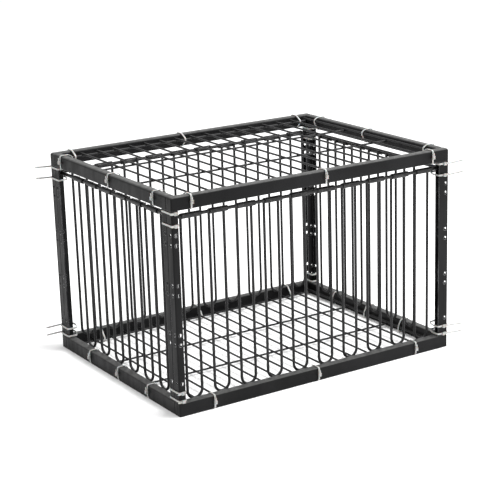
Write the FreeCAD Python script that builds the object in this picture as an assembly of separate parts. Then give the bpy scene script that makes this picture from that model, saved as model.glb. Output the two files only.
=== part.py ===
import FreeCAD, Part
import os

"""Collapsible wire cage: four hinged-bar frames tied together around a mesh roof and a mesh floor.

Units are millimetres and +Z is up. The origin is at the centre of the footprint, on the surface the
cage stands on. +X runs along the long sides, and the front frame faces -Y.

Each frame is drawn once, in its own coordinates: u runs along the frame, from left to right as seen
from outside, v runs into the cage from the frame's outer face, and z is up. It is then turned into
place, so the front and back frames are one design, and so are the left and right ones.
"""

# Whole cage
CAGE_LENGTH = 474.0
CAGE_WIDTH = 364.0
CAGE_HEIGHT = 310.0

# Folded sheet parts of a frame
SHEET = 1.5
FRAME_DEPTH = 13.0
FRAME_GAP = 0.4
TOP_RAIL_HEIGHT = 19.0
BOTTOM_RAIL_HEIGHT = 19.5
RAIL_EDGE_RADIUS = 3.5
FOLD_RADIUS = 2.0
LONG_LEFT_FLANGE = 10.0
LONG_RIGHT_FLANGE = 18.0
SHORT_FLANGE = 12.0
POST_HOLE_RADIUS = 2.5
POST_HOLE_PITCH = 70.0
POST_HOLE_PAIR = 14.0
POST_HOLE_INSET = 5.75

# Pivot rods and the bars that hang on them
ROD_RADIUS = 2.5
ROD_V = 10.0
ROD_Z = 280.0
BAR_RADIUS = 2.0
SLEEVE_CLEARANCE = 0.3
SLEEVE_RADIUS = 4.0
SLEEVE_OVERHANG = 0.5
LEG_OFFSET = 5.3
LEG_TOP = 1.5
BAR_PITCH = 44.5
LEG_SPACING = 23.5
BEND_RADIUS = LEG_SPACING / 2.0
BAR_BOTTOM_Z = 15.0

# First leg of the first bar, and the number of bars, of each kind of frame
LONG_FIRST_LEG = 22.0
LONG_BARS = 10
SHORT_FIRST_LEG = 62.0
SHORT_BARS = 6

# Welded mesh of the roof and the floor
MESH_WIRE_RADIUS = 1.5
MESH_WELD_DEPTH = 0.3
MESH_EDGE_GAP = 1.5
CROSS_WIRES = 17
CROSS_WIRE_PITCH = 27.5
LONG_WIRES = 4
LONG_WIRE_INSET = 22.0
FLOOR_LONG_WIRE_Z = 5.0
ROOF_LONG_WIRE_Z = 302.5

# Cable ties
TIE_WIDTH = 2.5
TIE_THICKNESS = 1.1
TIE_SLACK = 0.2
TIE_NOTCH_WIDTH = 4.0
TIE_NOTCH_HEIGHT = 1.8
TIE_HEAD = (5.0, 3.2, 4.0)
TAIL_LENGTH = 24.0
STUB_LENGTH = 4.0
CORNER_TIE_LEVELS = (23.0, 35.0, 271.0, 288.0)
LONG_ROOF_TIES = (30.75, 250.75, 443.25)
LONG_FLOOR_TIES = (56.0, 233.0, 412.0)
SHORT_ROOF_TIES = (36.0, 187.0, 316.0)
SHORT_FLOOR_TIES = (96.0, 185.0, 274.0)

UP = FreeCAD.Vector(0, 0, 1)
ALONG = FreeCAD.Vector(1, 0, 0)
INWARD = FreeCAD.Vector(0, 1, 0)
ORIGIN = FreeCAD.Vector(0, 0, 0)

# Frame name, the corner its u starts from in half-lengths and half-widths, and its turn about Z
FRAMES = (
    ("front", (-1, -1), 0),
    ("right", (1, -1), 90),
    ("back", (1, 1), 180),
    ("left", (-1, 1), 270),
)


def vec(x, y, z):
    """Return a point or direction."""
    return FreeCAD.Vector(x, y, z)


def box(low, high):
    """Return the box between two opposite corners."""
    size = [b - a for a, b in zip(low, high)]
    return Part.makeBox(*size, vec(*low))


def is_long(frame):
    """Return whether a frame runs along the cage's long side."""
    return frame in ("front", "back")


def frame_length(frame):
    """Return the length of the cage side that a frame closes."""
    return CAGE_LENGTH if is_long(frame) else CAGE_WIDTH


def frame_start(frame):
    """Return where a frame's own parts start along u: short frames fit between the long ones."""
    return 0.0 if is_long(frame) else FRAME_DEPTH + FRAME_GAP


def place(shape, frame):
    """Turn and move a shape from a frame's own coordinates to the cage's."""
    corner, turn = next((c, t) for name, c, t in FRAMES if name == frame)
    placed = shape.copy()
    placed.rotate(ORIGIN, UP, turn)
    placed.translate(vec(corner[0] * CAGE_LENGTH / 2, corner[1] * CAGE_WIDTH / 2, 0))
    return placed


def edges_where(shape, keep):
    """Return the straight edges of a shape whose middle and direction pass a test."""
    chosen = []
    for edge in shape.Edges:
        direction = edge.Vertexes[-1].Point.sub(edge.Vertexes[0].Point).normalize()
        if keep(edge.CenterOfMass, direction):
            chosen.append(edge)
    return chosen


def rounded_block(low, high, upright_radius, crown_radius):
    """Return a box with rounded outer uprights (those at its lowest v) and rounded top long edges."""
    block = box(low, high)
    uprights = edges_where(block, lambda middle, way: abs(way.z) > 0.9 and middle.y < low[1] + 0.1)
    block = block.makeFillet(upright_radius, uprights)
    crown = edges_where(block, lambda middle, way: abs(way.x) > 0.9 and middle.z > high[2] - 0.1)
    return block.makeFillet(crown_radius, crown)


def rail(frame, z_low, z_high, crown_radius):
    """Return a folded channel, open downwards, with closed ends and rounded outer edges."""
    start = frame_start(frame)
    end = frame_length(frame) - start
    outside = rounded_block((start, 0, z_low), (end, FRAME_DEPTH, z_high), FOLD_RADIUS, crown_radius)
    inside = rounded_block(
        (start + SHEET, SHEET, z_low - 1),
        (end - SHEET, FRAME_DEPTH - SHEET, z_high - SHEET),
        FOLD_RADIUS - SHEET,
        crown_radius - SHEET,
    )
    return outside.cut(inside)


def top_rail(frame):
    """Return a frame's top rail."""
    return rail(frame, CAGE_HEIGHT - TOP_RAIL_HEIGHT, CAGE_HEIGHT, RAIL_EDGE_RADIUS)


def bottom_rail(frame):
    """Return a frame's bottom rail: its inner lip is what the bars rest against."""
    body = rail(frame, 0, BOTTOM_RAIL_HEIGHT, FOLD_RADIUS)
    for u in (LONG_FLOOR_TIES if is_long(frame) else SHORT_FLOOR_TIES):
        half = TIE_NOTCH_WIDTH / 2
        body = body.cut(box((u - half, -1, -1), (u + half, FRAME_DEPTH + 1, TIE_NOTCH_HEIGHT)))
    return body


def hole_levels():
    """Return the heights of a post's holes, in pairs from the bottom rail up to the rod."""
    first = BOTTOM_RAIL_HEIGHT + POST_HOLE_PAIR
    levels = []
    for step in range(4):
        low = first + step * POST_HOLE_PITCH
        levels += [low, low + POST_HOLE_PAIR]
    return [z for z in levels if z < ROD_Z - 2 * ROD_RADIUS]


def post(frame, flange):
    """Return a frame's left post, an angle with its fold at the frame's end, with punched holes."""
    start = frame_start(frame)
    z_low = BOTTOM_RAIL_HEIGHT
    z_high = CAGE_HEIGHT - TOP_RAIL_HEIGHT
    outside = box((start, 0, z_low), (start + flange, FRAME_DEPTH, z_high))
    inside = box((start + SHEET, SHEET, z_low - 1), (start + flange + 1, FRAME_DEPTH + 1, z_high + 1))
    angle = outside.cut(inside)
    fold = edges_where(
        angle, lambda middle, way: abs(way.z) > 0.9 and middle.x < start + 0.1 and middle.y < 0.1
    )
    angle = angle.makeFillet(FOLD_RADIUS, fold)
    for z in hole_levels():
        in_front = vec(start + POST_HOLE_INSET, -SHEET, z)
        in_side = vec(start - SHEET, POST_HOLE_INSET, z)
        for centre, way in ((in_front, INWARD), (in_side, ALONG)):
            angle = angle.cut(Part.makeCylinder(POST_HOLE_RADIUS, 3 * SHEET, centre, way))
    return angle


def mirrored_to_right(shape, frame):
    """Return a frame's left-hand part as the right-hand one."""
    return shape.mirror(vec(frame_length(frame) / 2, 0, 0), ALONG)


def pivot_rod(frame):
    """Return the rod between a frame's posts that carries its bars."""
    start = frame_start(frame) + SHEET
    length = frame_length(frame) - 2 * start
    return Part.makeCylinder(ROD_RADIUS, length, vec(start, ROD_V, ROD_Z), ALONG)


def hanging_bar(first_leg):
    """Return one bar: a wire bent into a U, with both legs welded to a sleeve on the pivot rod."""
    v = ROD_V + LEG_OFFSET
    z_top = ROD_Z + LEG_TOP
    z_bend = BAR_BOTTOM_Z + BAR_RADIUS + BEND_RADIUS
    left = first_leg
    right = first_leg + LEG_SPACING
    bend = Part.Arc(
        vec(left, v, z_bend), vec((left + right) / 2, v, z_bend - BEND_RADIUS), vec(right, v, z_bend)
    ).toShape()
    down = Part.makeLine(vec(left, v, z_top), vec(left, v, z_bend))
    up = Part.makeLine(vec(right, v, z_bend), vec(right, v, z_top))
    section = Part.Wire(Part.Circle(vec(left, v, z_top), UP, BAR_RADIUS).toShape())
    wire = Part.Wire([down, bend, up]).makePipeShell([section], True, True)
    start = vec(left - BAR_RADIUS - SLEEVE_OVERHANG, ROD_V, ROD_Z)
    length = LEG_SPACING + 2 * (BAR_RADIUS + SLEEVE_OVERHANG)
    sleeve = Part.makeCylinder(SLEEVE_RADIUS, length, start, ALONG)
    bore = Part.makeCylinder(ROD_RADIUS + SLEEVE_CLEARANCE, length, start, ALONG)
    return sleeve.cut(bore).fuse(wire)


def bars(frame):
    """Return all the hanging bars of a frame, from left to right."""
    first = LONG_FIRST_LEG if is_long(frame) else SHORT_FIRST_LEG
    count = LONG_BARS if is_long(frame) else SHORT_BARS
    return [hanging_bar(first + step * BAR_PITCH) for step in range(count)]


def mesh_panel(z_long, cross_side):
    """Return a welded mesh panel: cross wires lie above (1) or below (-1) the long wires."""
    half_x = CAGE_LENGTH / 2 - FRAME_DEPTH - MESH_EDGE_GAP
    half_y = CAGE_WIDTH / 2 - FRAME_DEPTH - MESH_EDGE_GAP
    z_cross = z_long + cross_side * (2 * MESH_WIRE_RADIUS - MESH_WELD_DEPTH)
    wires = []
    spread = CAGE_WIDTH / 2 - LONG_WIRE_INSET
    for step in range(LONG_WIRES):
        y = -spread + step * 2 * spread / (LONG_WIRES - 1)
        wires.append(Part.makeCylinder(MESH_WIRE_RADIUS, 2 * half_x, vec(-half_x, y, z_long), ALONG))
    for step in range(CROSS_WIRES):
        x = (step - (CROSS_WIRES - 1) / 2) * CROSS_WIRE_PITCH
        wires.append(Part.makeCylinder(MESH_WIRE_RADIUS, 2 * half_y, vec(x, -half_y, z_cross), INWARD))
    return wires[0].multiFuse(wires[1:])


def loop(points, normal):
    """Return a closed strap around a flat outline, TIE_WIDTH wide along the normal."""
    outline = Part.makePolygon(points + points[:1])
    inner = Part.Wire(outline.Edges).makeOffset2D(TIE_SLACK, 0, False, False, False)
    outer = Part.Wire(outline.Edges).makeOffset2D(TIE_SLACK + TIE_THICKNESS, 0, False, False, False)
    band = Part.Face([outer, inner])
    band.validate()
    band.translate(normal * (-TIE_WIDTH / 2))
    return band.extrude(normal * TIE_WIDTH)


def tie_head(centre, along, out):
    """Return a tie's locking head: a block with softened corners on the outside of the strap."""
    length, thickness, width = TIE_HEAD
    block = Part.makeBox(length, thickness, width, vec(-length / 2, 0, -width / 2))
    block = block.makeFillet(0.8, block.Edges)
    across = along.cross(out)
    turn = FreeCAD.Matrix(
        along.x, out.x, across.x, centre.x,
        along.y, out.y, across.y, centre.y,
        along.z, out.z, across.z, centre.z,
    )
    return block.transformGeometry(turn)


def corner_tie(flange, z, tail):
    """Return a tie around the two posts that meet at a long frame's left end."""
    reach = FRAME_DEPTH + FRAME_GAP + SHORT_FLANGE
    outline = [
        vec(0, 0, z),
        vec(flange, 0, z),
        vec(max(flange, FRAME_DEPTH), FRAME_DEPTH, z),
        vec(FRAME_DEPTH, reach, z),
        vec(0, reach, z),
    ]
    strap = loop(outline, UP)
    face = -TIE_SLACK - TIE_THICKNESS
    head = tie_head(vec(flange / 2, face + 0.2, z), vec(-1, 0, 0), vec(0, -1, 0))
    low = vec(flange / 2, face - 1.7, z - TIE_WIDTH / 2)
    tongue = Part.makeBox(flange / 2 + tail, TIE_THICKNESS, TIE_WIDTH, vec(-tail, low.y, low.z))
    return strap.fuse([head, tongue])


def rail_tie(u, outline, head_z):
    """Return a tie around a rail and a mesh wire, from its outline in v and z."""
    strap = loop([vec(u, v, z) for v, z in outline], ALONG)
    face = -TIE_SLACK - TIE_THICKNESS
    head = tie_head(vec(u, face + 0.2, head_z), vec(0, 0, 1), vec(0, -1, 0))
    tongue = Part.makeBox(
        TIE_WIDTH, TIE_THICKNESS, TIE_HEAD[0] / 2 + STUB_LENGTH, vec(u - TIE_WIDTH / 2, face - 1.7, head_z)
    )
    return strap.fuse([head, tongue])


def nearest_wire(frame, z_long, cross_side):
    """Return v and z of the mesh wire that runs beside a frame's rail."""
    if is_long(frame):
        return LONG_WIRE_INSET, z_long
    v = CAGE_LENGTH / 2 - (CROSS_WIRES - 1) / 2 * CROSS_WIRE_PITCH
    return v, z_long + cross_side * (2 * MESH_WIRE_RADIUS - MESH_WELD_DEPTH)


def floor_ties(frame):
    """Return the ties that hold the floor mesh to a frame's bottom rail."""
    v, z = nearest_wire(frame, FLOOR_LONG_WIRE_Z, 1)
    reach = v + MESH_WIRE_RADIUS
    base = TIE_SLACK + TIE_THICKNESS + 0.2
    outline = [
        (0, base),
        (reach, base),
        (reach, z + MESH_WIRE_RADIUS),
        (FRAME_DEPTH, BOTTOM_RAIL_HEIGHT),
        (0, BOTTOM_RAIL_HEIGHT),
    ]
    places = LONG_FLOOR_TIES if is_long(frame) else SHORT_FLOOR_TIES
    return [rail_tie(u, outline, BOTTOM_RAIL_HEIGHT / 2) for u in places]


def roof_ties(frame):
    """Return the ties that hold the roof mesh to a frame's top rail."""
    v, z = nearest_wire(frame, ROOF_LONG_WIRE_Z, 1)
    reach = v + MESH_WIRE_RADIUS
    rail_low = CAGE_HEIGHT - TOP_RAIL_HEIGHT
    outline = [
        (0, rail_low),
        (FRAME_DEPTH, rail_low),
        (reach, z - MESH_WIRE_RADIUS),
        (reach, z + MESH_WIRE_RADIUS),
        (FRAME_DEPTH, CAGE_HEIGHT),
        (0, CAGE_HEIGHT),
    ]
    places = LONG_ROOF_TIES if is_long(frame) else SHORT_ROOF_TIES
    return [rail_tie(u, outline, CAGE_HEIGHT - TOP_RAIL_HEIGHT / 2) for u in places]


def corner_ties(frame):
    """Return the ties at both ends of a long frame: the right-hand ones keep their long tails."""
    ties = []
    for z in CORNER_TIE_LEVELS:
        ties.append(corner_tie(LONG_LEFT_FLANGE, z, STUB_LENGTH))
        ties.append(mirrored_to_right(corner_tie(LONG_RIGHT_FLANGE, z, TAIL_LENGTH), frame))
    return ties


def frame_parts(frame):
    """Return a frame's own parts by node name, in the cage's coordinates."""
    left_flange = LONG_LEFT_FLANGE if is_long(frame) else SHORT_FLANGE
    right_flange = LONG_RIGHT_FLANGE if is_long(frame) else SHORT_FLANGE
    parts = {
        f"{frame}_frame_top_rail": top_rail(frame),
        f"{frame}_frame_bottom_rail": bottom_rail(frame),
        f"{frame}_frame_left_post": post(frame, left_flange),
        f"{frame}_frame_right_post": mirrored_to_right(post(frame, right_flange), frame),
        f"{frame}_pivot_rod": pivot_rod(frame),
    }
    for number, bar in enumerate(bars(frame), start=1):
        parts[f"{frame}_hanging_bar_{number:02d}"] = bar
    return {name: place(shape, frame) for name, shape in parts.items()}


def build():
    """Return every part of the cage by node name."""
    parts = {}
    for frame, _, _ in FRAMES:
        parts.update(frame_parts(frame))
    parts["floor_mesh"] = mesh_panel(FLOOR_LONG_WIRE_Z, 1)
    parts["roof_mesh"] = mesh_panel(ROOF_LONG_WIRE_Z, 1)
    tie_groups = (
        ("corner_ties", corner_ties, ("front", "back")),
        ("floor_mesh_ties", floor_ties, ("front", "right", "back", "left")),
        ("roof_mesh_ties", roof_ties, ("front", "right", "back", "left")),
    )
    for name, make, frames in tie_groups:
        ties = [place(tie, frame) for frame in frames for tie in make(frame)]
        parts[name] = Part.makeCompound(ties)
    return parts


os.makedirs("parts", exist_ok=True)
for node, shape in build().items():
    shape.exportStep(os.path.join("parts", node + ".step"))
    box_of = shape.BoundBox
    print(
        f"{node}: {len(shape.Solids)} solid(s), valid {shape.isValid()}, {shape.Volume:.1f} mm3,"
        f" z {box_of.ZMin:.2f} to {box_of.ZMax:.2f}"
    )
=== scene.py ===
"""Black swing-bar wire cage: its finishes, cable ties and weld spots, with a pale studio around it.

The steel parts come from the CAD frame and keep their shapes. This script gives each of them its
finish, swaps the plain cable ties for moulded ones, and adds the weld spots of the wire panels and
frames. Everything is in metres, +Z is up, and the front frame faces -Y.
"""

from __future__ import annotations

import logging
import math
import random
from dataclasses import dataclass, field
from enum import Enum
from typing import Any, Iterator, Sequence

import bmesh
import bpy
from mathutils import Matrix, Vector


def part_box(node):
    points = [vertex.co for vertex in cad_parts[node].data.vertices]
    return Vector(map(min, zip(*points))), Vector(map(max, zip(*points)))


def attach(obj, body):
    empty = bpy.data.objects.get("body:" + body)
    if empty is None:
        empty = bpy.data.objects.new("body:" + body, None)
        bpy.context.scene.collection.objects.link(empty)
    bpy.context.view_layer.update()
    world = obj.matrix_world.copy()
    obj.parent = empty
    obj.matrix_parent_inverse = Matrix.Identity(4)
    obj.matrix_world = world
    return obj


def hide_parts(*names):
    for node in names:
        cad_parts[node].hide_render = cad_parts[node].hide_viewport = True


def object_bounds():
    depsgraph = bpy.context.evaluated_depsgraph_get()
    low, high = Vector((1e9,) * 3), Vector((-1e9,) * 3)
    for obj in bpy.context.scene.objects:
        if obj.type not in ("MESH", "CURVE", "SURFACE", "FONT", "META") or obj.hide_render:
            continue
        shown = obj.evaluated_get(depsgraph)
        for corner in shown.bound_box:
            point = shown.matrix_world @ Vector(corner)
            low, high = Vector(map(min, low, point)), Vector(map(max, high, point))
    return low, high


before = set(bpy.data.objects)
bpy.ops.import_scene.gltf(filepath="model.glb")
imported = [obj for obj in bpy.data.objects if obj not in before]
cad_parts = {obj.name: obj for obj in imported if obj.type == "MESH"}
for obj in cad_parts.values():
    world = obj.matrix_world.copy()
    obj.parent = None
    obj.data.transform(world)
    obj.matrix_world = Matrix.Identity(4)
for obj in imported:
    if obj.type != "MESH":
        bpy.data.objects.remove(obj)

CAD_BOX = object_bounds()
LOG = logging.getLogger("wire_cage")

MM = 0.001
SHEET = 1.5 * MM
MESH_WIRE_RADIUS = 1.5 * MM
TIE_HEAD_STAND_OFF = 1.2 * MM
ROUNDING_SHARE = 0.45
CREASE_ANGLE = math.radians(38)
SAME_POINT = 1e-6
SAME_PLANE = 1e-5
NOISE_SPREAD = (0.3, 0.7)
CAGE_BODY = "cage"
UP = Vector((0.0, 0.0, 1.0))

Range = tuple[float, float]
Triple = tuple[float, float, float]
Colour = tuple[float, float, float, float]
Box = tuple[Vector, Vector]


class Side(Enum):
    """A side of the cage: its name in the CAD frame, and the direction its frame faces."""

    FRONT = ("front", (0.0, -1.0, 0.0))
    RIGHT = ("right", (1.0, 0.0, 0.0))
    BACK = ("back", (0.0, 1.0, 0.0))
    LEFT = ("left", (-1.0, 0.0, 0.0))

    @property
    def label(self) -> str:
        """The name that the side's nodes start with."""
        return self.value[0]

    @property
    def outward(self) -> Vector:
        """The direction that the side faces."""
        return Vector(self.value[1])

    @property
    def along(self) -> Vector:
        """The direction of the side's rails, from left to right as seen from outside."""
        return UP.cross(self.outward)

    @property
    def is_long(self) -> bool:
        """Whether the side runs along the cage's length."""
        return self in (Side.FRONT, Side.BACK)


class Panel(Enum):
    """One of the two welded wire panels: its node, and the kind of rail it is tied to."""

    FLOOR = ("floor_mesh", "bottom_rail")
    ROOF = ("roof_mesh", "top_rail")

    @property
    def node(self) -> str:
        """The panel's CAD node."""
        return self.value[0]

    def rail(self, side: Side) -> str:
        """The CAD node of the rail that the panel is tied to on a side."""
        return f"{side.label}_frame_{self.value[1]}"


# ---------------------------------------------------------------------------------------------
# Finishes
# ---------------------------------------------------------------------------------------------


class NodeSheet:
    """A material's node tree, with short calls for the nodes that the finishes share.

    Attributes:
        EDGE_SAMPLES: How many rays look for a sharp edge.
        EDGE_MATCH: How well the rounded and the true normal agree, beside an edge and on it.
        CREVICE_SAMPLES: How many rays look for a surface close by.
        CREVICE_SHADE: How open the surface is, outside a corner and deep in it.
        LEVEL_TOP: How far the normal points up, where the dust and the painted top light start and
            where they are full.
    """

    EDGE_SAMPLES = 4
    EDGE_MATCH: Range = (0.985, 0.86)
    CREVICE_SAMPLES = 6
    CREVICE_SHADE: Range = (0.75, 0.3)
    LEVEL_TOP: Range = (0.35, 0.95)

    def __init__(self, name: str) -> None:
        """Make an empty material.

        Args:
            name: The material's name.
        """
        self.material = bpy.data.materials.new(name)
        self.material.use_nodes = True
        self.tree = self.material.node_tree
        self.tree.nodes.clear()
        output = self.tree.nodes.new("ShaderNodeOutputMaterial")
        self.shader = self.tree.nodes.new("ShaderNodeBsdfPrincipled")
        self.link(self.shader.outputs["BSDF"], output.inputs["Surface"])
        coordinates = self.tree.nodes.new("ShaderNodeTexCoord")
        self.place = coordinates.outputs["Object"]

    def link(self, source: Any, target: Any) -> None:
        """Join an output to an input."""
        self.tree.links.new(source, target)

    def put(self, target: Any, value: Any) -> None:
        """Join a value to an input if it is an output, or else set it there.

        Args:
            target: The input.
            value: An output, a number or a colour.
        """
        if isinstance(value, bpy.types.NodeSocket):
            self.link(value, target)
        else:
            target.default_value = value

    def noise(self, scale: float, detail: float, stretch: Sequence[float] = (1, 1, 1)) -> Any:
        """Add a noise field over the object's own coordinates.

        Args:
            scale: How many times the noise repeats in a metre.
            detail: How many finer layers are added.
            stretch: How much each axis is scaled before the noise is read.

        Returns:
            The noise's value output.
        """
        mapping = self.tree.nodes.new("ShaderNodeMapping")
        mapping.inputs["Scale"].default_value = stretch
        self.link(self.place, mapping.inputs["Vector"])
        node = self.tree.nodes.new("ShaderNodeTexNoise")
        node.inputs["Scale"].default_value = scale
        node.inputs["Detail"].default_value = detail
        self.link(mapping.outputs["Vector"], node.inputs["Vector"])
        return node.outputs["Fac"]

    def remap(
        self, value: Any, start: float, end: float, low: float = 0.0, high: float = 1.0
    ) -> Any:
        """Map a value from one range to another, with smooth ends.

        Args:
            value: The output to map.
            start: The value that becomes low.
            end: The value that becomes high.
            low: The result's first limit.
            high: The result's second limit.

        Returns:
            The mapped output.
        """
        node = self.tree.nodes.new("ShaderNodeMapRange")
        node.interpolation_type = "SMOOTHSTEP"
        self.link(value, node.inputs["Value"])
        node.inputs["From Min"].default_value = start
        node.inputs["From Max"].default_value = end
        node.inputs["To Min"].default_value = low
        node.inputs["To Max"].default_value = high
        return node.outputs["Result"]

    def combine(self, kind: str, first: Any, second: Any) -> Any:
        """Do arithmetic on two values, at least one of them an output.

        Args:
            kind: The Math node's operation.
            first: The first value.
            second: The second value.

        Returns:
            The result's output.
        """
        node = self.tree.nodes.new("ShaderNodeMath")
        node.operation = kind
        self.put(node.inputs[0], first)
        self.put(node.inputs[1], second)
        return node.outputs["Value"]

    def blend(self, share: Any, first: Any, second: Any) -> Any:
        """Mix two colours.

        Args:
            share: The output that says how much of the second colour shows.
            first: A colour or an output.
            second: A colour or an output.

        Returns:
            The mixed colour's output.
        """
        node = self.tree.nodes.new("ShaderNodeMix")
        node.data_type = "RGBA"
        colour_inputs = [i for i in node.inputs if i.type == "RGBA"]
        factor = next(i for i in node.inputs if i.type == "VALUE")
        self.link(share, factor)
        self.put(colour_inputs[0], first)
        self.put(colour_inputs[1], second)
        return next(o for o in node.outputs if o.type == "RGBA")

    def edges(self, radius: float) -> Any:
        """Mark the surface beside sharp edges.

        Args:
            radius: How far from an edge the mark reaches, in metres.

        Returns:
            An output that is 1 at an edge and 0 away from it.
        """
        rounded = self.tree.nodes.new("ShaderNodeBevel")
        rounded.samples = self.EDGE_SAMPLES
        rounded.inputs["Radius"].default_value = radius
        surface = self.tree.nodes.new("ShaderNodeNewGeometry")
        match = self.tree.nodes.new("ShaderNodeVectorMath")
        match.operation = "DOT_PRODUCT"
        self.link(rounded.outputs["Normal"], match.inputs[0])
        self.link(surface.outputs["True Normal"], match.inputs[1])
        return self.remap(match.outputs["Value"], *self.EDGE_MATCH)

    def upward(self) -> Any:
        """Mark the surface that faces up, where dust settles and where the tops are painted
        lighter, as if lit from above.

        Returns:
            An output that is 1 on level tops and 0 on walls.
        """
        surface = self.tree.nodes.new("ShaderNodeNewGeometry")
        parts = self.tree.nodes.new("ShaderNodeSeparateXYZ")
        self.link(surface.outputs["Normal"], parts.inputs["Vector"])
        return self.remap(parts.outputs["Z"], *self.LEVEL_TOP)

    def crevices(self, reach: float) -> Any:
        """Mark the surface in inside corners, where dirt gathers.

        Args:
            reach: How near another surface has to be, in metres.

        Returns:
            An output that is 1 deep in a corner and 0 in the open.
        """
        shade = self.tree.nodes.new("ShaderNodeAmbientOcclusion")
        shade.samples = self.CREVICE_SAMPLES
        shade.inputs["Distance"].default_value = reach
        return self.remap(shade.outputs["AO"], *self.CREVICE_SHADE)

    def height(self) -> Any:
        """The height of the point above the floor, in metres."""
        parts = self.tree.nodes.new("ShaderNodeSeparateXYZ")
        self.link(self.place, parts.inputs["Vector"])
        return parts.outputs["Z"]

    def bump(self, relief: Sequence[tuple[Any, float]]) -> None:
        """Give the surface relief.

        Args:
            relief: Height fields, each with its depth in metres.
        """
        normal = None
        for field_output, depth in relief:
            node = self.tree.nodes.new("ShaderNodeBump")
            node.inputs["Distance"].default_value = depth
            self.link(field_output, node.inputs["Height"])
            if normal is not None:
                self.link(normal, node.inputs["Normal"])
            normal = node.outputs["Normal"]
        self.link(normal, self.shader.inputs["Normal"])


@dataclass(frozen=True)
class PowderCoat:
    """Baked satin powder coat on folded sheet steel: orange peel, rubbed edges with a painted edge
    highlight, and some dust with painted top light that makes the upward faces lighter.
    """

    colour: Colour = (0.0035, 0.0035, 0.0038, 1.0)
    faded: Colour = (0.0075, 0.0075, 0.008, 1.0)
    # Colour at the sharp edges: rubbed-through coat, and also a painted highlight that lightens the
    # edges as if they caught the light.
    rubbed: Colour = (0.19, 0.19, 0.195, 1.0)
    # Colour of the tops: real dust, and also painted top light that makes upward faces lighter as
    # if lit from above.
    dust: Colour = (0.072, 0.072, 0.071, 1.0)
    lint: Colour = (0.045, 0.044, 0.041, 1.0)
    fading_per_metre: float = 14.0
    fading: Range = (0.35, 0.7)
    scratches_per_metre: float = 90.0
    scratch_stretch: Triple = (1.0, 1.0, 0.25)
    scratching: Range = (0.42, 0.62)
    # Even unscratched edges keep this share of the lighter edge colour, as a painted edge
    # highlight.
    least_rub: float = 0.25
    specks_per_metre: float = 1400.0
    specking: Range = (0.66, 0.74)
    speck_share: float = 0.35
    film_per_metre: float = 110.0
    least_film: float = 0.6
    crevice_reach: float = 0.004
    shine: float = 0.11
    roughness: Range = (0.32, 0.5)
    peel_per_metre: float = 760.0
    peel_depth: float = 0.0001
    sheet_waves_per_metre: float = 14.0
    sheet_wave_depth: float = 0.0005
    edge_reach: float = 0.0012

    def material(self) -> bpy.types.Material:
        """Build the finish.

        Returns:
            The finish's material.
        """
        sheet = NodeSheet("powder_coat")
        patches = sheet.remap(sheet.noise(self.fading_per_metre, detail=4.0), *self.fading)
        peel = sheet.noise(self.peel_per_metre, detail=2.0)
        scratches = sheet.noise(self.scratches_per_metre, detail=5.0, stretch=self.scratch_stretch)
        specks = sheet.remap(sheet.noise(self.specks_per_metre, detail=2.0), *self.specking)
        edge = sheet.edges(self.edge_reach)
        # Rubbing and painted edge highlight: sharp edges take the lighter edge colour, more where
        # scratched.
        rubbing = sheet.remap(scratches, *self.scratching, self.least_rub, 1.0)
        rub_and_highlight = sheet.combine("MULTIPLY", edge, rubbing)
        cloud = sheet.noise(self.film_per_metre, detail=5.0)
        film = sheet.remap(cloud, *NOISE_SPREAD, self.least_film, 1.0)
        # Dust and painted top light: upward faces, in patches, take the lighter top colour.
        dust_and_top_light_share = sheet.combine("MULTIPLY", sheet.upward(), film)
        crevice = sheet.combine("MULTIPLY", sheet.crevices(self.crevice_reach), film)
        specks = sheet.combine("MULTIPLY", specks, self.speck_share)
        grime = sheet.combine("MAXIMUM", crevice, specks)
        colour = sheet.blend(patches, self.colour, self.faded)
        colour = sheet.blend(grime, colour, self.lint)
        colour = sheet.blend(dust_and_top_light_share, colour, self.dust)
        colour = sheet.blend(rub_and_highlight, colour, self.rubbed)
        sheet.link(colour, sheet.shader.inputs["Base Color"])
        wear = sheet.remap(scratches, *NOISE_SPREAD, *self.roughness)
        sheet.link(wear, sheet.shader.inputs["Roughness"])
        waves = sheet.noise(self.sheet_waves_per_metre, detail=1.0)
        sheet.bump([(waves, self.sheet_wave_depth), (peel, self.peel_depth)])
        sheet.shader.inputs["Specular IOR Level"].default_value = self.shine
        return sheet.material


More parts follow.
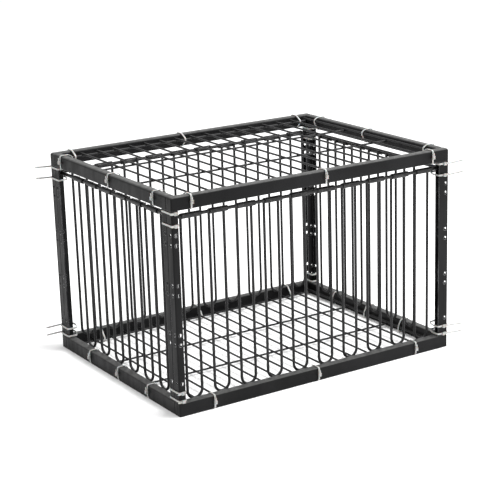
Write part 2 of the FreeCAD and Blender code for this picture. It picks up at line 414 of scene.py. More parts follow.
@dataclass(frozen=True)
class DippedWire:
    """Black dip paint on drawn wire: glossy, slightly uneven, and worn through where it rubs."""

    name: str = "dipped_wire"
    colour: Colour = (0.006, 0.006, 0.0065, 1.0)
    thin: Colour = (0.016, 0.016, 0.017, 1.0)
    steel: Colour = (0.24, 0.236, 0.23, 1.0)
    shine: float = 0.2
    roughness: Range = (0.24, 0.44)
    runs_per_metre: float = 55.0
    run_stretch: Triple = (1.0, 1.0, 0.3)
    thinning: Range = (0.35, 0.68)
    run_depth: float = 0.0004
    grain_per_metre: float = 700.0
    grain_depth: float = 0.00008
    worn_heights: tuple[float, ...] = ()
    worn_reach: float = 0.007
    worn_most: float = 0.5
    rubs_per_metre: float = 1100.0
    rub_stretch: Triple = (1.0, 1.0, 1.0)
    rubbing: Range = (0.48, 0.66)
    chips_per_metre: float = 170.0
    chipping: Range = (0.42, 0.7)

    def material(self) -> bpy.types.Material:
        """Build the finish.

        Returns:
            The finish's material.
        """
        sheet = NodeSheet(self.name)
        runs = sheet.noise(self.runs_per_metre, detail=4.0, stretch=self.run_stretch)
        grain = sheet.noise(self.grain_per_metre, detail=2.0)
        colour = sheet.blend(sheet.remap(runs, *self.thinning), self.colour, self.thin)
        wear = None
        for height in self.worn_heights:
            above = sheet.combine("SUBTRACT", sheet.height(), height)
            distance = sheet.combine("ABSOLUTE", above, 0.0)
            band = sheet.remap(distance, self.worn_reach, 0.0)
            wear = band if wear is None else sheet.combine("MAXIMUM", wear, band)
        if wear is not None:
            rubs = sheet.noise(self.rubs_per_metre, detail=3.0, stretch=self.rub_stretch)
            chips = sheet.noise(self.chips_per_metre, detail=2.0)
            rubs, chips = sheet.remap(rubs, *self.rubbing), sheet.remap(chips, *self.chipping)
            patchy = sheet.combine("MULTIPLY", rubs, chips)
            patchy = sheet.combine("MULTIPLY", patchy, self.worn_most)
            wear = sheet.combine("MULTIPLY", wear, patchy)
            colour = sheet.blend(wear, colour, self.steel)
            sheet.link(wear, sheet.shader.inputs["Metallic"])
        sheet.link(colour, sheet.shader.inputs["Base Color"])
        gloss = sheet.remap(runs, *NOISE_SPREAD, *self.roughness)
        sheet.link(gloss, sheet.shader.inputs["Roughness"])
        sheet.shader.inputs["Specular IOR Level"].default_value = self.shine
        sheet.bump([(runs, self.run_depth), (grain, self.grain_depth)])
        return sheet.material


@dataclass(frozen=True)
class Nylon:
    """Natural grey nylon of a moulded cable tie: waxy, a little see-through and faintly mottled."""

    colour: Colour = (0.40, 0.40, 0.392, 1.0)
    stained: Colour = (0.28, 0.276, 0.262, 1.0)
    mottles_per_metre: float = 240.0
    staining: Range = (0.4, 0.72)
    roughness: Range = (0.34, 0.5)
    grain_per_metre: float = 900.0
    grain_depth: float = 0.00006
    see_through: float = 0.15
    see_through_reach: float = 0.001

    def material(self) -> bpy.types.Material:
        """Build the finish.

        Returns:
            The finish's material.
        """
        sheet = NodeSheet("tie_nylon")
        mottle = sheet.noise(self.mottles_per_metre, detail=4.0)
        colour = sheet.blend(sheet.remap(mottle, *self.staining), self.colour, self.stained)
        sheet.link(colour, sheet.shader.inputs["Base Color"])
        gloss = sheet.remap(mottle, *NOISE_SPREAD, *self.roughness)
        sheet.link(gloss, sheet.shader.inputs["Roughness"])
        sheet.bump([(sheet.noise(self.grain_per_metre, detail=2.0), self.grain_depth)])
        sheet.shader.inputs["Subsurface Weight"].default_value = self.see_through
        sheet.shader.inputs["Subsurface Scale"].default_value = self.see_through_reach
        return sheet.material


@dataclass(frozen=True)
class StudioPaper:
    """Matt white paper of the studio floor, with a very faint tooth."""

    colour: Colour = (0.96, 0.96, 0.96, 1.0)
    roughness: Range = (0.75, 0.85)
    tooth_per_metre: float = 320.0
    tooth_depth: float = 0.00005

    def material(self) -> bpy.types.Material:
        """Build the finish.

        Returns:
            The finish's material.
        """
        sheet = NodeSheet("studio_paper")
        tooth = sheet.noise(self.tooth_per_metre, detail=3.0)
        sheet.shader.inputs["Base Color"].default_value = self.colour
        gloss = sheet.remap(tooth, *NOISE_SPREAD, *self.roughness)
        sheet.link(gloss, sheet.shader.inputs["Roughness"])
        sheet.bump([(tooth, self.tooth_depth)])
        return sheet.material


@dataclass
class FinishShelf:
    """Every finish of the cage, built once and shared by its parts."""

    powder_coat: bpy.types.Material = field(init=False)
    rod_paint: bpy.types.Material = field(init=False)
    bar_paint: bpy.types.Material = field(init=False)
    mesh_paint: bpy.types.Material = field(init=False)
    nylon: bpy.types.Material = field(init=False)
    paper: bpy.types.Material = field(init=False)

    def __post_init__(self) -> None:
        """Mix the finishes, with wear where the bars turn on their rods and rest on the rails."""
        rod_low, rod_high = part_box("front_pivot_rod")
        rod_height = (rod_low.z + rod_high.z) / 2
        rest_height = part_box("front_frame_bottom_rail")[1].z - SHEET
        self.powder_coat = PowderCoat().material()
        self.rod_paint = DippedWire(
            "rod_paint", worn_heights=(rod_height,), worn_most=0.3, rub_stretch=(0.25, 0.25, 2.0)
        ).material()
        self.bar_paint = DippedWire("bar_paint", worn_heights=(rod_height, rest_height)).material()
        self.mesh_paint = DippedWire("mesh_paint", roughness=(0.3, 0.5)).material()
        self.nylon = Nylon().material()
        self.paper = StudioPaper().material()


def dress(piece: bpy.types.Object, finish: bpy.types.Material) -> None:
    """Give a piece one finish all over.

    Args:
        piece: The piece to dress.
        finish: Its material.
    """
    piece.data.materials.clear()
    piece.data.materials.append(finish)


# ---------------------------------------------------------------------------------------------
# Mesh work
# ---------------------------------------------------------------------------------------------


def islands(node: str) -> list[Box]:
    """Find the separate solids of a CAD node.

    Args:
        node: The CAD node.

    Returns:
        The lowest and highest corner of each solid.
    """
    work = bmesh.new()
    work.from_mesh(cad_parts[node].data)
    bmesh.ops.remove_doubles(work, verts=work.verts, dist=SAME_POINT)
    work.verts.ensure_lookup_table()
    left = set(work.verts)
    found = []
    while left:
        start = left.pop()
        low, high = start.co.copy(), start.co.copy()
        front = [start]
        while front:
            vertex = front.pop()
            for i in range(3):
                low[i] = min(low[i], vertex.co[i])
                high[i] = max(high[i], vertex.co[i])
            for edge in vertex.link_edges:
                other = edge.other_vert(vertex)
                if other in left:
                    left.remove(other)
                    front.append(other)
        found.append((low, high))
    work.free()
    return sorted(found, key=lambda pair: tuple(pair[0]))


def make_piece(
    name: str, work: bmesh.types.BMesh, finish: bpy.types.Material, body: str = CAGE_BODY
) -> bpy.types.Object:
    """Turn a finished mesh into a piece that rides on a CAD body.

    Args:
        name: The piece's name.
        work: Its mesh, which is freed.
        finish: Its material.
        body: The body that carries it.

    Returns:
        The new object.
    """
    bmesh.ops.recalc_face_normals(work, faces=work.faces)
    mesh = bpy.data.meshes.new(name)
    work.to_mesh(mesh)
    work.free()
    for polygon in mesh.polygons:
        polygon.use_smooth = True
    mesh.set_sharp_from_angle(angle=CREASE_ANGLE)
    piece = bpy.data.objects.new(name, mesh)
    bpy.context.scene.collection.objects.link(piece)
    dress(piece, finish)
    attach(piece, body)
    LOG.info("piece %s: %d faces", name, len(mesh.polygons))
    return piece


def add_ripple(work: bmesh.types.BMesh, place: Vector, size: float) -> None:
    """Add one ripple of a weld bead.

    Args:
        work: The mesh to add to.
        place: The ripple's middle.
        size: Its radius.
    """
    matrix = Matrix.Translation(place)
    bmesh.ops.create_icosphere(work, subdivisions=2, radius=size, matrix=matrix)


def rounded_path(corners: Sequence[Vector], radius: float, steps: int = 5) -> list[Vector]:
    """Round the corners of a closed outline.

    Args:
        corners: The outline's corners, in order.
        radius: The rounding's radius, less where an edge is too short for it.
        steps: How many points each rounding gets, less one.

    Returns:
        The points of the rounded outline.
    """
    path = []
    count = len(corners)
    for i, corner in enumerate(corners):
        before, after = corners[i - 1] - corner, corners[(i + 1) % count] - corner
        reach = min(radius, before.length * ROUNDING_SHARE, after.length * ROUNDING_SHARE)
        start = corner + before.normalized() * reach
        end = corner + after.normalized() * reach
        for step in range(steps + 1):
            t = step / steps
            path.append(start.lerp(corner, t).lerp(corner.lerp(end, t), t))
    return path


def box_face(box: Box, sign: float, axis: int) -> float:
    """Read where a box ends on one side.

    Args:
        box: Its lowest and highest corner.
        sign: Positive for the high side and negative for the low one.
        axis: The axis to read.

    Returns:
        The side's place on that axis.
    """
    return box[1 if sign > 0 else 0][axis]


@dataclass
class CableTie:
    """One moulded nylon cable tie, drawn tight around an outline, with its head and cut tail.

    Attributes:
        outline: The corners of what the strap goes round, in order.
        normal: The direction across the strap.
        head: Where the locking head sits, on the strap's outer face.
        out: The direction away from what the head sits on.
        run: The direction that the tail leaves the head in.
        tail: The tail's length beyond the head.
        bend: How far the tail's tip turns off its line, along the normal, as a share of its length.
        slot_rim: The width of the head's face round its slot.
        bevelled_from: How far from the head's middle an edge has to be to get the bevel.
        tail_level: Where the tail leaves the head, as a share of its height.
        tail_lift: How far the tail's tip rises, as a share of its length.
        tooth_root: The tail's thickness between its teeth, as a share of the strap's.
        tip_length: How long the narrowing of the tail's tip is.
        tip_width: The width of the cut tip, as a share of the strap's.
    """

    outline: Sequence[Vector]
    normal: Vector
    head: Vector
    out: Vector
    run: Vector
    tail: float
    bend: float = 0.0

    width: float = 2.5 * MM
    thickness: float = 1.0 * MM
    slack: float = 0.3 * MM
    corner_radius: float = 2.2 * MM
    head_length: float = 5.0 * MM
    head_width: float = 4.2 * MM
    head_height: float = 3.2 * MM
    tooth_pitch: float = 0.9 * MM
    least_tail_steps: int = 4
    soft_edge: float = 0.25 * MM
    soft_share: float = 0.6
    slot_rim: float = 0.75 * MM
    slot_depth: float = 0.9 * MM
    bevelled_from: float = 1.5 * MM
    head_bevel: float = 0.45 * MM
    tail_level: float = 0.55
    tail_lift: float = 0.08
    tooth_root: float = 0.72
    tip_length: float = 4.0 * MM
    tip_width: float = 0.35

    def section(self, thickness: float, width: float) -> list[tuple[float, float]]:
        """The strap's section, as (out, across) pairs: flat faces with softened edges.

        Args:
            thickness: The section's size away from the surface.
            width: The section's size across the strap.

        Returns:
            The section's corners, in order.
        """
        t, w = thickness / 2, width / 2
        soft = min(self.soft_edge, t * self.soft_share)
        return [
            (-t, -w + soft), (-t, w - soft), (-t + soft, w), (t - soft, w),
            (t, w - soft), (t, -w + soft), (t - soft, -w), (-t + soft, -w),
        ]

    def sweep(
        self, work: bmesh.types.BMesh, points: Sequence[Vector], outs: Sequence[Vector],
        sizes: Sequence[tuple[float, float]], closed: bool,
    ) -> None:
        """Sweep the strap's section along points.

        Args:
            work: The mesh to add to.
            points: The middle of the section at each step.
            outs: The direction away from the surface at each step.
            sizes: The thickness and width at each step.
            closed: Whether the last point joins the first one.
        """
        rings = []
        for point, out, (thickness, width) in zip(points, outs, sizes):
            ring = [
                work.verts.new(point + out * a + self.normal * b)
                for a, b in self.section(thickness, width)
            ]
            rings.append(ring)
        pairs = list(zip(rings, rings[1:]))
        if closed:
            pairs.append((rings[-1], rings[0]))
        for one, two in pairs:
            for i, vertex in enumerate(one):
                j = (i + 1) % len(one)
                work.faces.new((vertex, one[j], two[j], two[i]))
        if not closed:
            work.faces.new(rings[0])
            work.faces.new(list(reversed(rings[-1])))

    def strap(self, work: bmesh.types.BMesh) -> None:
        """Add the strap: the rounded outline, grown to stand off what it holds.

        Args:
            work: The mesh to add to.
        """
        centre = sum(self.outline, Vector()) / len(self.outline)
        path = rounded_path(self.outline, self.corner_radius)
        count = len(path)
        outs = []
        for i in range(count):
            way = (path[(i + 1) % count] - path[i - 1]).normalized()
            out = way.cross(self.normal)
            if out.dot(path[i] - centre) < 0:
                out.negate()
            outs.append(out)
        stand_off = self.slack + self.thickness / 2
        points = [p + o * stand_off for p, o in zip(path, outs)]
        self.sweep(work, points, outs, [(self.thickness, self.width)] * count, True)

    def head_block(self, work: bmesh.types.BMesh) -> None:
        """Add the locking head: a softened block with the slot that the tail comes out of.

        Args:
            work: The mesh to add to.
        """
        across = self.run.cross(self.out)
        middle = self.head + self.out * (self.head_height / 2)
        turn = Matrix((self.run, self.out, across)).transposed().to_4x4()
        size = Matrix.Diagonal((self.head_length, self.head_height, self.head_width, 1.0))
        matrix = Matrix.Translation(middle) @ turn @ size
        made = bmesh.ops.create_cube(work, size=1.0, matrix=matrix)
        faces = {f for v in made["verts"] for f in v.link_faces}
        top = max(faces, key=lambda f: f.calc_center_median().dot(self.out))
        rim = bmesh.ops.inset_individual(work, faces=[top], thickness=self.slot_rim)["faces"]
        bmesh.ops.translate(work, verts=list(top.verts), vec=-self.out * self.slot_depth)
        edges = {e for f in faces | set(rim) for e in f.edges if e.is_valid}
        outer = [
            e for e in edges
            if all(abs((v.co - middle).dot(self.out)) > self.bevelled_from for v in e.verts)
        ]
        bmesh.ops.bevel(
            work, geom=outer, offset=self.head_bevel, segments=2, affect="EDGES", profile=0.6
        )

    def tail_strip(self, work: bmesh.types.BMesh) -> None:
        """Add the tail: toothed along its length, and narrowed to its cut tip.

        Args:
            work: The mesh to add to.
        """
        start = self.head + self.out * (self.head_height * self.tail_level)
        length = self.head_length / 2 + self.tail
        steps = max(self.least_tail_steps, round(length / (self.tooth_pitch / 2)))
        points, outs, sizes = [], [], []
        for step in range(steps + 1):
            t = step / steps
            reach = self.run * (length * t)
            lift = self.out * (self.tail * self.tail_lift * t * t)
            turn = self.normal * (self.tail * self.bend * t * t)
            points.append(start + reach + (lift + turn))
            outs.append(self.out)
            tooth = 1.0 if step % 2 else self.tooth_root
            tip = min(1.0, (1.0 - t) * length / self.tip_length + self.tip_width)
            sizes.append((self.thickness * tooth, self.width * tip))
        self.sweep(work, points, outs, sizes, False)

    def add_to(self, work: bmesh.types.BMesh) -> None:
        """Add the whole tie to a mesh.

        Args:
            work: The mesh to add to.
        """
        self.strap(work)
        self.head_block(work)
        self.tail_strip(work)


# ---------------------------------------------------------------------------------------------
# Sub-assemblies
# ---------------------------------------------------------------------------------------------


@dataclass
class HangingBar:
    """One bar: a bent wire with both legs welded to the sleeve that turns on the pivot rod.

    Attributes:
        side: The side of the cage that the bar hangs in.
        number: The bar's number, from left to right as seen from outside.
        finishes: The shared finishes.
        leg_inset: How far each leg's middle is from the sleeve's end.
        weld_depth: How far the welds stand from the rod's axis.
        weld_curl: How far a weld curls round the sleeve, as a share of its depth.
        ripple: The radius of a weld ripple.
        ripple_spread: The smallest and largest ripple, as shares of that radius.
    """

    side: Side
    number: int
    finishes: FinishShelf
    leg_inset: float = 2.5 * MM
    weld_width: float = 1.9 * MM
    weld_height: float = 2.7 * MM
    weld_depth: float = 3.75 * MM
    weld_curl: float = 0.16
    ripple: float = 0.62 * MM
    ripple_spread: Range = (0.8, 1.15)
    ripples: int = 16

    @property
    def node(self) -> str:
        """The bar's CAD node."""
        return f"{self.side.label}_hanging_bar_{self.number:02d}"

    @property
    def body(self) -> str:
        """The moving body that the bar belongs to."""
        return f"{self.side.label}_bar_{self.number:02d}"

    def leg_places(self) -> list[Vector]:
        """Find where each leg meets the sleeve: beside the rod's axis, on the cage's inner side."""
        low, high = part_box(self.node)
        rod_low, rod_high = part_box(f"{self.side.label}_pivot_rod")
        axis = (rod_low + rod_high) / 2
        middle = (low + high) / 2
        along, outward = self.side.along, self.side.outward
        reach = abs(((high - low) / 2).dot(along)) - self.leg_inset
        inner = outward * (axis.dot(outward) - self.weld_depth)
        face = along * middle.dot(along) + inner + UP * axis.z
        return [face + along * end * reach for end in (-1, 1)]

    def build(self) -> None:
        """Dress the bar and add the ripples of its two welds."""
        dress(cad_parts[self.node], self.finishes.bar_paint)
        dice = random.Random(f"bar welds {self.body}")
        work = bmesh.new()
        for place in self.leg_places():
            for step in range(self.ripples):
                angle = 2 * math.pi * step / self.ripples
                across = self.side.along * (self.weld_width * math.cos(angle))
                climb = UP * (self.weld_height * math.sin(angle))
                curl = self.weld_depth * self.weld_curl * math.sin(angle) ** 2
                centre = place + across + climb + self.side.outward * curl
                add_ripple(work, centre, self.ripple * dice.uniform(*self.ripple_spread))
        make_piece(f"{self.body}_welds", work, self.finishes.bar_paint, self.body)


@dataclass
class SideFrame:
    """One hinged-bar frame: two rails, two punched posts, the pivot rod and the bars on it.

    Attributes:
        side: The side of the cage that the frame closes.
        finishes: The shared finishes.
        bead_spread: The smallest and largest ripple of a bead, as shares of its radius.
        collar_spread: The same for the ripples round the rod's ends.
        collar_inset: How far those ripples stand from the rod's end.
        hole_inset: How far a hole's middle is from the post's fold.
        hole_pairs: How many pairs of holes each face has.
        rim_profile: A rim's section, as shares of its width and height.
    """

    side: Side
    finishes: FinishShelf
    bead_length: float = 9.0 * MM
    bead_radius: float = 1.1 * MM
    bead_pitch: float = 1.5 * MM
    bead_spread: Range = (0.85, 1.1)
    collar_ripples: int = 14
    collar_inset: float = 0.4 * MM
    collar_spread: Range = (0.7, 0.95)
    hole_radius: float = 2.5 * MM
    hole_inset: float = 5.75 * MM
    hole_pair: float = 14.0 * MM
    hole_pitch: float = 70.0 * MM
    hole_pairs: int = 4
    rim_width: float = 0.8 * MM
    rim_height: float = 0.25 * MM
    rim_profile: tuple[Range, ...] = ((0.0, -1.0), (0.0, 0.5), (0.35, 1.0), (1.0, -0.4))
    rim_steps: int = 28

    def node(self, part: str) -> str:
        """The name of one of the frame's own parts, in the CAD frame or added to it."""
        return f"{self.side.label}_frame_{part}"

    def bar_count(self) -> int:
        """How many bars hang in the frame."""
        return sum(n.startswith(f"{self.side.label}_hanging_bar_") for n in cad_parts)

    def dress_steel(self) -> None:
        """Give the rails, posts and rod their finishes."""
        for part in ("top_rail", "bottom_rail", "left_post", "right_post"):
            dress(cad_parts[self.node(part)], self.finishes.powder_coat)
        dress(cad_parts[f"{self.side.label}_pivot_rod"], self.finishes.rod_paint)

    def post_folds(self) -> Iterator[tuple[Vector, Vector, Range]]:
        """Find the outer fold of each post.

        Yields:
            A point on the fold, the direction that the post's flange runs in from there along
            the rails, and the heights of the post's foot and top.
        """
        inward = -self.side.outward
        for part, way in (("left_post", self.side.along), ("right_post", -self.side.along)):
            low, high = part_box(self.node(part))
            middle, half = (low + high) / 2, (high - low) / 2
            fold = middle - way * abs(half.dot(way)) - inward * abs(half.dot(inward))
            yield fold, way, (low.z, high.z)

    def weld_lines(self) -> Iterator[tuple[Vector, Vector]]:
        """Find where the posts are welded to the rails, inside the fold.

        Yields:
            The start of each weld and the direction it runs in.
        """
        inward = -self.side.outward
        for fold, way, heights in self.post_folds():
            corner = fold + way * SHEET + inward * SHEET
            for z in heights:
                yield Vector((corner.x, corner.y, z)), way
                yield Vector((corner.x, corner.y, z)), inward

    def hole_levels(self) -> list[float]:
        """The heights of the posts' holes: pairs, evenly spaced from the bottom rail up."""
        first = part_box(self.node("left_post"))[0].z + self.hole_pair
        levels = [first + step * self.hole_pitch for step in range(self.hole_pairs)]
        return sorted(levels + [level + self.hole_pair for level in levels])

    def add_hole_rims(self) -> None:
        """Add the low pressed rims round the punched holes, on both faces of each post."""
        work = bmesh.new()
        for fold, way, _ in self.post_folds():
            for z in self.hole_levels():
                edge = Vector((fold.x, fold.y, z))
                self.add_rim(work, edge + way * self.hole_inset, self.side.outward)
                self.add_rim(work, edge - self.side.outward * self.hole_inset, -way)
        make_piece(self.node("hole_rims"), work, self.finishes.powder_coat)

    def add_rim(self, work: bmesh.types.BMesh, centre: Vector, out: Vector) -> None:
        """Add one pressed rim: a low ring with a bevelled crown, let into the sheet.

        Args:
            work: The mesh to add to.
            centre: The hole's middle, on the post's outer face.
            out: The direction that the face looks in.
        """
        across = out.cross(UP)
        profile = [
            (self.hole_radius + self.rim_width * wide, self.rim_height * high)
            for wide, high in self.rim_profile
        ]
        rings = []
        for step in range(self.rim_steps):
            angle = 2 * math.pi * step / self.rim_steps
            spoke = across * math.cos(angle) + UP * math.sin(angle)
            rings.append([work.verts.new(centre + spoke * r + out * h) for r, h in profile])
        for one, two in zip(rings, rings[1:] + rings[:1]):
            for i in range(len(profile)):
                j = (i + 1) % len(profile)
                work.faces.new((one[i], one[j], two[j], two[i]))

    def add_welds(self) -> None:
        """Add the rippled weld beads between posts and rails, and round the rod's ends."""
        work = bmesh.new()
        dice = random.Random(f"welds {self.side.label}")
        for start, way in self.weld_lines():
            ripples = int(self.bead_length / self.bead_pitch)
            for step in range(ripples):
                size = self.bead_radius * dice.uniform(*self.bead_spread)
                place = start + way * (self.bead_pitch * (step + 0.5))
                add_ripple(work, place, size)
        self.add_rod_collars(work, dice)
        make_piece(self.node("welds"), work, self.finishes.powder_coat)

    def add_rod_collars(self, work: bmesh.types.BMesh, dice: random.Random) -> None:
        """Add the weld round each end of the pivot rod.

        Args:
            work: The mesh to add to.
            dice: The source of the ripples' small differences.
        """
        low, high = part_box(f"{self.side.label}_pivot_rod")
        centre = (low + high) / 2
        reach = abs((high - low).dot(self.side.along)) / 2
        radius = (high.z - low.z) / 2
        for end in (-1, 1):
            middle = centre + self.side.along * end * (reach - self.collar_inset)
            for step in range(self.collar_ripples):
                angle = 2 * math.pi * step / self.collar_ripples
                spoke = self.side.outward * math.cos(angle) + UP * math.sin(angle)
                size = self.bead_radius * dice.uniform(*self.collar_spread)
                add_ripple(work, middle + spoke * radius, size)

    def build(self) -> None:
        """Dress the frame, add its hole rims and welds, and build its bars."""
        self.dress_steel()
        self.add_hole_rims()
        self.add_welds()
        for number in range(1, self.bar_count() + 1):
            HangingBar(self.side, number, self.finishes).build()
        LOG.info("%s frame: %d hanging bars", self.side.label, self.bar_count())


@dataclass
class WirePanel:
    """A welded wire panel, with the squashed weld spot at each crossing of its wires.

    Attributes:
        panel: Which of the two panels it is.
        finishes: The shared finishes.
        end_reach: How far apart two points of one cut wire end can be, in wire radii.
        spot_shape: A weld spot's size on each axis, in wire radii.
        spot_spread: The smallest and largest spot, as shares of that size.
    """

    panel: Panel
    finishes: FinishShelf
    end_reach: float = 2.5
    spot_shape: Triple = (1.25, 1.25, 0.62)
    spot_spread: Range = (0.92, 1.06)

    def wire_places(self, axis: int) -> list[float]:
        """Find the wires that run along the other axis, from the cut ends at the panel's edge.

        Args:
            axis: The axis to place them on: 0 for the cross wires and 1 for the long ones.

        Returns:
            Each wire's place on that axis.
        """
        other = 1 - axis
        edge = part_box(self.panel.node)[1][other]
        ends = sorted(
            v.co[axis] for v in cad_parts[self.panel.node].data.vertices
            if abs(v.co[other] - edge) < SAME_PLANE
        )
        groups: list[list[float]] = []
        for place in ends:
            if groups and place - groups[-1][0] < self.end_reach * MESH_WIRE_RADIUS:
                groups[-1].append(place)
            else:
                groups.append([place])
        return [(group[0] + group[-1]) / 2 for group in groups]

    def build(self) -> None:
        """Dress the panel and add its weld spots."""
        dress(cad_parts[self.panel.node], self.finishes.mesh_paint)
        low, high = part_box(self.panel.node)
        dice = random.Random(f"spots {self.panel.node}")
        work = bmesh.new()
        places = [(x, y) for x in self.wire_places(0) for y in self.wire_places(1)]
        for x, y in places:
            turn = Matrix.Rotation(dice.uniform(0, math.pi), 4, "Z")
            size = Matrix.Diagonal((*self.spot_shape, 1.0)) * dice.uniform(*self.spot_spread)
            size[3][3] = 1.0
            matrix = Matrix.Translation((x, y, (low.z + high.z) / 2)) @ turn @ size
            bmesh.ops.create_uvsphere(
                work, u_segments=12, v_segments=8, radius=MESH_WIRE_RADIUS, matrix=matrix
            )
        name = self.panel.node.replace("mesh", "weld_spots")
        make_piece(name, work, self.finishes.mesh_paint)
        LOG.info("%s: %d crossings", self.panel.node, len(places))


@dataclass
class CornerTies:
    """The ties that hold neighbouring frames together, in pairs at the top and foot of each corner.

    Attributes:
        finishes: The shared finishes.
        stub: The shortest tail past the cage's corner.
        tail_bend: How far the tails turn up at the top and down at the foot of the cage.
    """

    finishes: FinishShelf
    stub: float = 4.0 * MM
    tail_bend: float = 0.05

    @staticmethod
    def posts_at(corner: Vector) -> tuple[str, str]:
        """Find the two posts that meet at a corner.

        Args:
            corner: A point near the corner.

        Returns:
            The long frame's post and the short frame's post.
        """
        long_side = "front" if corner.y < 0 else "back"
        short_side = "left" if corner.x < 0 else "right"
        at_left_end = (corner.x < 0) == (long_side == "front")
        long_post = f"{long_side}_frame_{'left' if at_left_end else 'right'}_post"
        short_post = f"{short_side}_frame_{'right' if at_left_end else 'left'}_post"
        return long_post, short_post

    def tie(self, low: Vector, high: Vector) -> CableTie:
        """Design the tie that stands in one CAD tie's place.

        Args:
            low: The CAD tie's lowest corner.
            high: The CAD tie's highest corner.

        Returns:
            The tie.
        """
        middle = (low + high) / 2
        long_box, short_box = (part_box(post) for post in self.posts_at(middle))
        sx, sy = math.copysign(1, middle.x), math.copysign(1, middle.y)
        outer_x, outer_y = box_face(long_box, sx, 0), box_face(long_box, sy, 1)
        flange_x, depth_y = box_face(long_box, -sx, 0), box_face(long_box, -sy, 1)
        inner_x, inner_y = box_face(short_box, -sx, 0), box_face(short_box, -sy, 1)
        deeper_x = min(flange_x, inner_x) if sx > 0 else max(flange_x, inner_x)
        z = middle.z
        corners = (
            (outer_x, outer_y), (flange_x, outer_y), (deeper_x, depth_y),
            (inner_x, inner_y), (outer_x, inner_y),
        )
        outline = [Vector((x, y, z)) for x, y in corners]
        tail = max(self.stub, abs(box_face((low, high), sx, 0)) - abs(outer_x))
        head = Vector(((outer_x + flange_x) / 2, outer_y + sy * TIE_HEAD_STAND_OFF, z))
        to_edge = abs(outer_x - head.x) - CableTie.head_length / 2
        return CableTie(
            outline, UP, head, Vector((0, sy, 0)), Vector((sx, 0, 0)), to_edge + tail,
            bend=self.tail_bend * math.copysign(1, z - CAD_BOX[1].z / 2),
        )

    def build(self) -> None:
        """Make the ties."""
        work = bmesh.new()
        for low, high in islands("corner_ties"):
            self.tie(low, high).add_to(work)
        dress(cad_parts["corner_ties"], self.finishes.nylon)
        piece = make_piece("corner_cable_ties", work, self.finishes.nylon)
        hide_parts("corner_ties")


@dataclass
class PanelTies:
    """The ties that hold a wire panel to the rails round it.

    Attributes:
        panel: The panel that they hold.
        finishes: The shared finishes.
        strap_stand_off: How far a plain CAD strap's outer face is from what it goes round.
        stub: The cut tail's length.
    """

    panel: Panel
    finishes: FinishShelf
    strap_stand_off: float = 1.3 * MM
    stub: float = 5.0 * MM

    @staticmethod
    def side_of(low: Vector, high: Vector) -> Side:
        """Find the side whose rail a tie goes round.

        Args:
            low: The tie's lowest corner.
            high: The tie's highest corner.

        Returns:
            The side.
        """
        middle = (low + high) / 2
        half_length, half_width = CAD_BOX[1].x, CAD_BOX[1].y
        if abs(middle.x) / half_length > abs(middle.y) / half_width:
            return Side.RIGHT if middle.x > 0 else Side.LEFT
        return Side.BACK if middle.y > 0 else Side.FRONT

    def outline(self, side: Side, low: Vector, high: Vector) -> list[tuple[float, float]]:
        """Lay out what a tie goes round.

        Args:
            side: The side that the tie is on.
            low: The CAD tie's lowest corner.
            high: The CAD tie's highest corner.

        Returns:
            The outline's corners, as pairs of distance from the cage's middle and height.
        """
        rail_low, rail_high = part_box(self.panel.rail(side))
        mesh_low, mesh_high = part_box(self.panel.node)
        axis = 1 if side.is_long else 0
        near, far = sorted((abs(rail_low[axis]), abs(rail_high[axis])))
        reach = min(abs(low[axis]), abs(high[axis])) + self.strap_stand_off
        wire_low, wire_high = mesh_low.z, mesh_low.z + 2 * MESH_WIRE_RADIUS
        if not side.is_long:
            wire_low, wire_high = mesh_high.z - 2 * MESH_WIRE_RADIUS, mesh_high.z
        over = [(reach, wire_high), (near, rail_high.z), (far, rail_high.z)]
        if self.panel is Panel.FLOOR:
            foot = low.z + self.strap_stand_off
            return [(far, foot), (reach, foot), *over]
        return [(far, rail_low.z), (near, rail_low.z), (reach, wire_low), *over]

    def tie(self, low: Vector, high: Vector) -> CableTie:
        """Design the tie that stands in one CAD tie's place.

        Args:
            low: The CAD tie's lowest corner.
            high: The CAD tie's highest corner.

        Returns:
            The tie.
        """
        side = self.side_of(low, high)
        along = side.along * ((low + high) / 2).dot(side.along)
        corners = self.outline(side, low, high)
        outline = [along + side.outward * reach + UP * z for reach, z in corners]
        face = max(point.dot(side.outward) for point in outline)
        rail_low, rail_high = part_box(self.panel.rail(side))
        level = (rail_low.z + rail_high.z) / 2
        head = along + side.outward * (face + TIE_HEAD_STAND_OFF) + UP * level
        return CableTie(outline, side.along, head, side.outward, UP, self.stub)

    def build(self) -> None:
        """Make the ties."""
        node = f"{self.panel.node}_ties"
        work = bmesh.new()
        for low, high in islands(node):
            self.tie(low, high).add_to(work)
        dress(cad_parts[node], self.finishes.nylon)
        name = f"{self.panel.node}_cable_ties"
        piece = make_piece(name, work, self.finishes.nylon)
        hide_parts(node)


@dataclass(frozen=True)
class Softbox:
    """A soft square lamp that shines at the cage.

    Attributes:
        name: The lamp's name.
        place: Where it hangs.
        size: Its side.
        power: Its power, in watts.
    """

    name: str
    place: Triple
    size: float
    power: float

    def hang(self) -> None:
        """Hang the lamp in its place and turn it to the cage's middle."""
        data = bpy.data.lights.new(self.name, "AREA")
        data.size = self.size
        data.energy = self.power
        lamp = bpy.data.objects.new(self.name, data)
        lamp.location = self.place
        aim = Vector((0.0, 0.0, CAD_BOX[1].z / 2)) - Vector(self.place)
        lamp.rotation_euler = aim.to_track_quat("-Z", "Y").to_euler()
        bpy.context.scene.collection.objects.link(lamp)


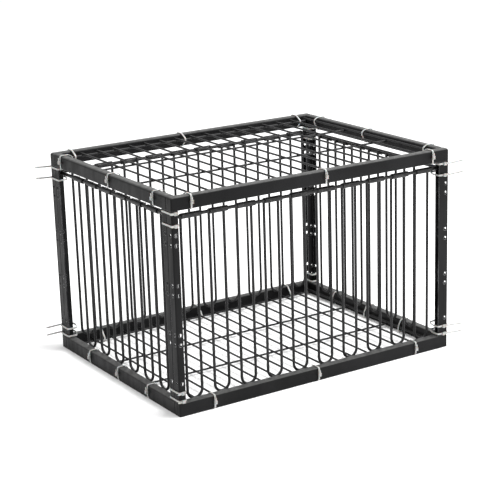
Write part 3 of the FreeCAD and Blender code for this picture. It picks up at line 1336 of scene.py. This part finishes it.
@dataclass
class Studio:
    """A pale floor, soft light from above and the front, and the camera.

    Attributes:
        finishes: The shared finishes.
        azimuth: The camera's turn round the cage, in degrees.
        elevation: Its angle above the horizon, in degrees.
        roll: Its turn about its own line of sight, in degrees.
        distance: Its distance from the cage's middle, in cage heights.
        lens: Its focal length, in millimetres, as is the sensor's width.
        clip: The nearest and furthest distance that it sees.
    """

    finishes: FinishShelf
    azimuth: float = -32.5
    elevation: float = 16.1
    roll: float = -1.7
    distance: float = 7.36
    lens: float = 108.0
    sensor_width: float = 36.0
    clip: Range = (0.05, 200.0)
    floor_half_size: float = 30.0
    sky_colour: Colour = (1.0, 1.0, 1.0, 1.0)
    sky_strength: float = 1.03
    softboxes: tuple[Softbox, ...] = (
        Softbox("overhead_softbox", (0.9, -0.5, 2.1), 1.4, 70.0),
        Softbox("front_softbox", (1.7, -2.3, 1.3), 1.2, 16.0),
    )

    def add_floor(self) -> None:
        """Lay the floor that the cage stands on."""
        half = self.floor_half_size
        work = bmesh.new()
        corners = [(-half, -half, 0), (half, -half, 0), (half, half, 0), (-half, half, 0)]
        work.faces.new([work.verts.new(c) for c in corners])
        mesh = bpy.data.meshes.new("studio_floor")
        work.to_mesh(mesh)
        work.free()
        floor = bpy.data.objects.new("studio_floor", mesh)
        bpy.context.scene.collection.objects.link(floor)
        dress(floor, self.finishes.paper)

    def add_sky(self) -> None:
        """Surround the cage with even white light."""
        world = bpy.data.worlds.new("studio_sky")
        world.use_nodes = True
        background = world.node_tree.nodes["Background"]
        background.inputs["Color"].default_value = self.sky_colour
        background.inputs["Strength"].default_value = self.sky_strength
        bpy.context.scene.world = world

    def add_camera(self) -> None:
        """Set up the camera and make it the scene's."""
        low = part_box("front_frame_bottom_rail")[0]
        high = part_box("back_frame_top_rail")[1]
        middle = (low + high) / 2
        a, e = math.radians(self.azimuth), math.radians(self.elevation)
        back = Vector((math.sin(a) * math.cos(e), -math.cos(a) * math.cos(e), math.sin(e)))
        data = bpy.data.cameras.new("studio_camera")
        data.lens = self.lens
        data.sensor_width = self.sensor_width
        data.clip_start, data.clip_end = self.clip
        camera = bpy.data.objects.new("studio_camera", data)
        camera.location = middle + back * (self.distance * high.z)
        look = (-back).to_track_quat("-Z", "Y").to_matrix().to_4x4()
        camera.rotation_euler = (look @ Matrix.Rotation(math.radians(self.roll), 4, "Z")).to_euler()
        bpy.context.scene.collection.objects.link(camera)
        bpy.context.scene.camera = camera

    def build(self) -> None:
        """Set up the floor, the light and the camera."""
        self.add_camera()
        self.add_floor()
        self.add_sky()
        for softbox in self.softboxes:
            softbox.hang()
        bpy.context.scene.view_settings.view_transform = "Standard"


def main() -> None:
    """Build the studio, then the cage, sub-assembly by sub-assembly."""
    logging.basicConfig(level=logging.INFO, format="%(name)s: %(message)s")
    finishes = FinishShelf()
    Studio(finishes).build()
    for side in Side:
        SideFrame(side, finishes).build()
    for panel in Panel:
        WirePanel(panel, finishes).build()
        PanelTies(panel, finishes).build()
    CornerTies(finishes).build()


if __name__ == "__main__":
    main()
